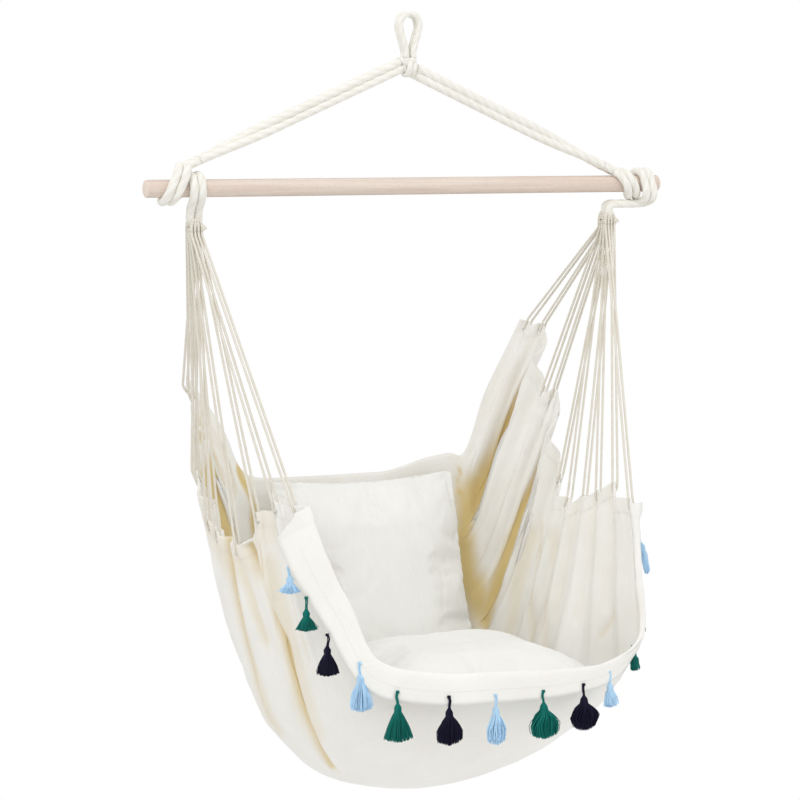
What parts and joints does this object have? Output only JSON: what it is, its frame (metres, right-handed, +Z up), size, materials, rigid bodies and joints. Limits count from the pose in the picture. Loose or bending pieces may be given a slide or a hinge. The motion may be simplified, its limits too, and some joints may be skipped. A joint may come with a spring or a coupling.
{
  "type": "hammock chair",
  "caption": "Cotton hanging chair: a pleated pouch with seat and back cushions and a tasselled front hem, hung by cords from a wooden spreader bar under a rope eye.",
  "frame": {"origin": "inside top of the rope eye, where it bears on its hook", "axes": "+X along the spreader bar to the sitter's left, -Y the way the sitter faces, +Z up"},
  "size_m": [1, 0.6048, 1.3762],
  "materials": {
    "beech": "bare sanded pale hardwood",
    "cotton_rope": "soft spun cotton rope",
    "cotton_cloth": "natural cotton canvas",
    "cushion_cover": "natural cotton canvas over soft filling",
    "pale_blue_yarn": "loose yarn",
    "green_yarn": "loose yarn",
    "navy_yarn": "loose yarn"
  },
  "bodies": {
    "eye": {"eye_strand_front": "cotton_rope", "eye_strand_back": "cotton_rope"},
    "knot": {"eye_knot": "cotton_rope"},
    "spreader": {"spreader_bar": "beech", "left_leg_rope_upper": "cotton_rope", "left_leg_rope_lower": "cotton_rope", "right_leg_rope_upper": "cotton_rope", "right_leg_rope_lower": "cotton_rope", "left_bar_wrap": "cotton_rope", "right_bar_wrap": "cotton_rope"},
    "seat": {"seat_cloth": "cotton_cloth", "left_cord_head": "cotton_rope", "right_cord_head": "cotton_rope", "left_cord_01": "cotton_rope", "left_cord_02": "cotton_rope", "left_cord_03": "cotton_rope", "left_cord_04": "cotton_rope", "left_cord_05": "cotton_rope", "left_cord_06": "cotton_rope", "left_cord_07": "cotton_rope", "left_cord_08": "cotton_rope", "left_cord_09": "cotton_rope", "left_cord_10": "cotton_rope", "right_cord_01": "cotton_rope", "right_cord_02": "cotton_rope", "right_cord_03": "cotton_rope", "right_cord_04": "cotton_rope", "right_cord_05": "cotton_rope", "right_cord_06": "cotton_rope", "right_cord_07": "cotton_rope", "right_cord_08": "cotton_rope", "right_cord_09": "cotton_rope", "right_cord_10": "cotton_rope"},
    "seat_cushion": {"seat_cushion": "cushion_cover"},
    "back_cushion": {"back_cushion": "cushion_cover"},
    "tassel_01": {"tassel_01": "pale_blue_yarn"},
    "tassel_02": {"tassel_02": "green_yarn"},
    "tassel_03": {"tassel_03": "navy_yarn"},
    "tassel_04": {"tassel_04": "pale_blue_yarn"},
    "tassel_05": {"tassel_05": "green_yarn"},
    "tassel_06": {"tassel_06": "navy_yarn"},
    "tassel_07": {"tassel_07": "pale_blue_yarn"},
    "tassel_08": {"tassel_08": "green_yarn"},
    "tassel_09": {"tassel_09": "navy_yarn"},
    "tassel_10": {"tassel_10": "pale_blue_yarn"},
    "tassel_11": {"tassel_11": "green_yarn"},
    "tassel_12": {"tassel_12": "navy_yarn"},
    "tassel_13": {"tassel_13": "pale_blue_yarn"}
  },
  "joints": [
    {"name": "knot_swing", "type": "hinge", "parent": "eye", "child": "knot", "pos_m": [0, 0, -0.08], "axis": [1, 0, 0], "range_deg": [-25, 25]},
    {"name": "bar_sway", "type": "hinge", "parent": "knot", "child": "spreader", "pos_m": [0, 0, -0.08], "axis": [0, 1, 0], "range_deg": [-7, 7]},
    {"name": "seat_tilt", "type": "hinge", "parent": "spreader", "child": "seat", "pos_m": [0, 0, -0.3471], "axis": [1, 0, 0], "range_deg": [-20, 20]},
    {"name": "seat_cushion_lift", "type": "slide", "parent": "seat", "child": "seat_cushion", "axis": [0, 0, 1], "range_m": [0, 0.3]},
    {"name": "back_cushion_lift", "type": "slide", "parent": "seat", "child": "back_cushion", "axis": [0, 0, 1], "range_m": [0, 0.3]},
    {"name": "tassel_01_swing", "type": "hinge", "parent": "seat", "child": "tassel_01", "pos_m": [-0.3407, -0.26713, -0.89711], "axis": [-0.9686, 0.2487, 0], "range_deg": [-3, 45]},
    {"name": "tassel_02_swing", "type": "hinge", "parent": "seat", "child": "tassel_02", "pos_m": [-0.31892, -0.2848, -0.95204], "axis": [-0.967, 0.255, 0], "range_deg": [-3, 45]},
    {"name": "tassel_03_swing", "type": "hinge", "parent": "seat", "child": "tassel_03", "pos_m": [-0.29047, -0.30579, -1.01217], "axis": [-0.9645, 0.2641, 0], "range_deg": [-3, 45]},
    {"name": "tassel_04_swing", "type": "hinge", "parent": "seat", "child": "tassel_04", "pos_m": [-0.24395, -0.3322, -1.05852], "axis": [-0.9812, 0.193, 0], "range_deg": [0, 45]},
    {"name": "tassel_05_swing", "type": "hinge", "parent": "seat", "child": "tassel_05", "pos_m": [-0.18431, -0.35186, -1.1087], "axis": [-0.9806, 0.1961, 0], "range_deg": [0, 45]},
    {"name": "tassel_06_swing", "type": "hinge", "parent": "seat", "child": "tassel_06", "pos_m": [-0.09443, -0.3603, -1.12386], "axis": [-0.9982, 0.0603, 0], "range_deg": [-3, 45]},
    {"name": "tassel_07_swing", "type": "hinge", "parent": "seat", "child": "tassel_07", "pos_m": [-0.00838, -0.36183, -1.12905], "axis": [-0.9999, -0.0104, 0], "range_deg": [-3, 45]},
    {"name": "tassel_08_swing", "type": "hinge", "parent": "seat", "child": "tassel_08", "pos_m": [0.08376, -0.3594, -1.13142], "axis": [-0.9843, -0.1767, 0], "range_deg": [-3, 45]},
    {"name": "tassel_09_swing", "type": "hinge", "parent": "seat", "child": "tassel_09", "pos_m": [0.16986, -0.34427, -1.13114], "axis": [-0.9879, -0.1552, 0], "range_deg": [-3, 45]},
    {"name": "tassel_10_swing", "type": "hinge", "parent": "seat", "child": "tassel_10", "pos_m": [0.23548, -0.31825, -1.12073], "axis": [-0.9077, -0.4195, 0], "range_deg": [-3, 45]},
    {"name": "tassel_11_swing", "type": "hinge", "parent": "seat", "child": "tassel_11", "pos_m": [0.31336, -0.26309, -1.09272], "axis": [-0.5154, -0.8569, 0], "range_deg": [-3, 45]},
    {"name": "tassel_12_swing", "type": "hinge", "parent": "seat", "child": "tassel_12", "pos_m": [0.35006, -0.22189, -1.01986], "axis": [-0.3394, -0.9406, 0], "range_deg": [-3, 45]},
    {"name": "tassel_13_swing", "type": "hinge", "parent": "seat", "child": "tassel_13", "pos_m": [0.35794, -0.2052, -0.90187], "axis": [-0.4992, -0.8665, 0], "range_deg": [0, 45]}
  ]
}
